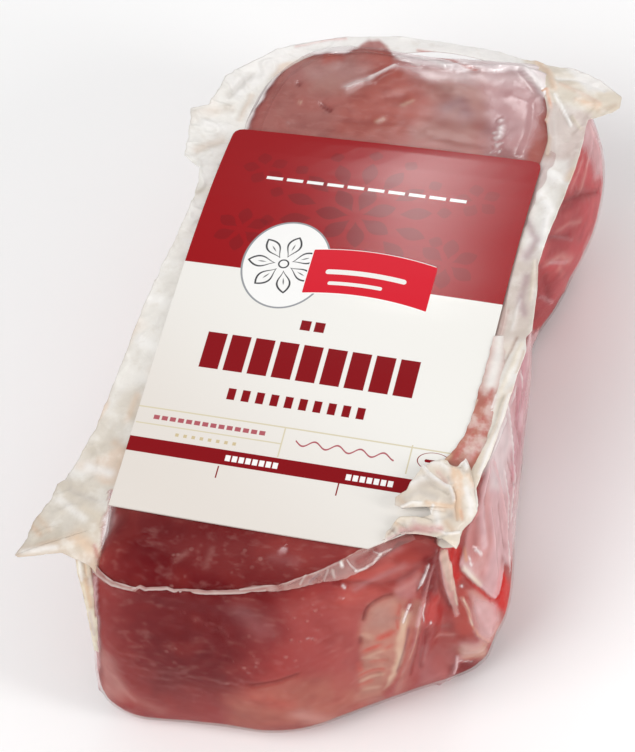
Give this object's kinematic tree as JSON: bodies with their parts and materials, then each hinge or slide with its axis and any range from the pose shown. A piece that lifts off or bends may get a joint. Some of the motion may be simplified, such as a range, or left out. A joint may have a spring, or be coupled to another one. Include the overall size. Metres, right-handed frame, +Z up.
{
  "type": "vacuum-packed raw beef tongue",
  "caption": "Whole raw beef tongue sealed in clear vacuum film: an oblong block with a welded film margin round its top rim, folded over at one corner, and a paper label on top.",
  "frame": {"origin": "centre of the footprint of the whole box, at the base that the pack lies on", "axes": "+X to the label's right, +Y to the far end of the pack (the top of the label), +Z up out of the label"},
  "size_m": [0.1436, 0.2324, 0.0882],
  "materials": {
    "film_over_meat": "glossy clear film drawn tight over raw dark red meat",
    "label_paper": "coated label paper with a red field"
  },
  "bodies": {
    "root": {"sealed_pack": "film_over_meat", "label": "label_paper"}
  },
  "joints": []
}
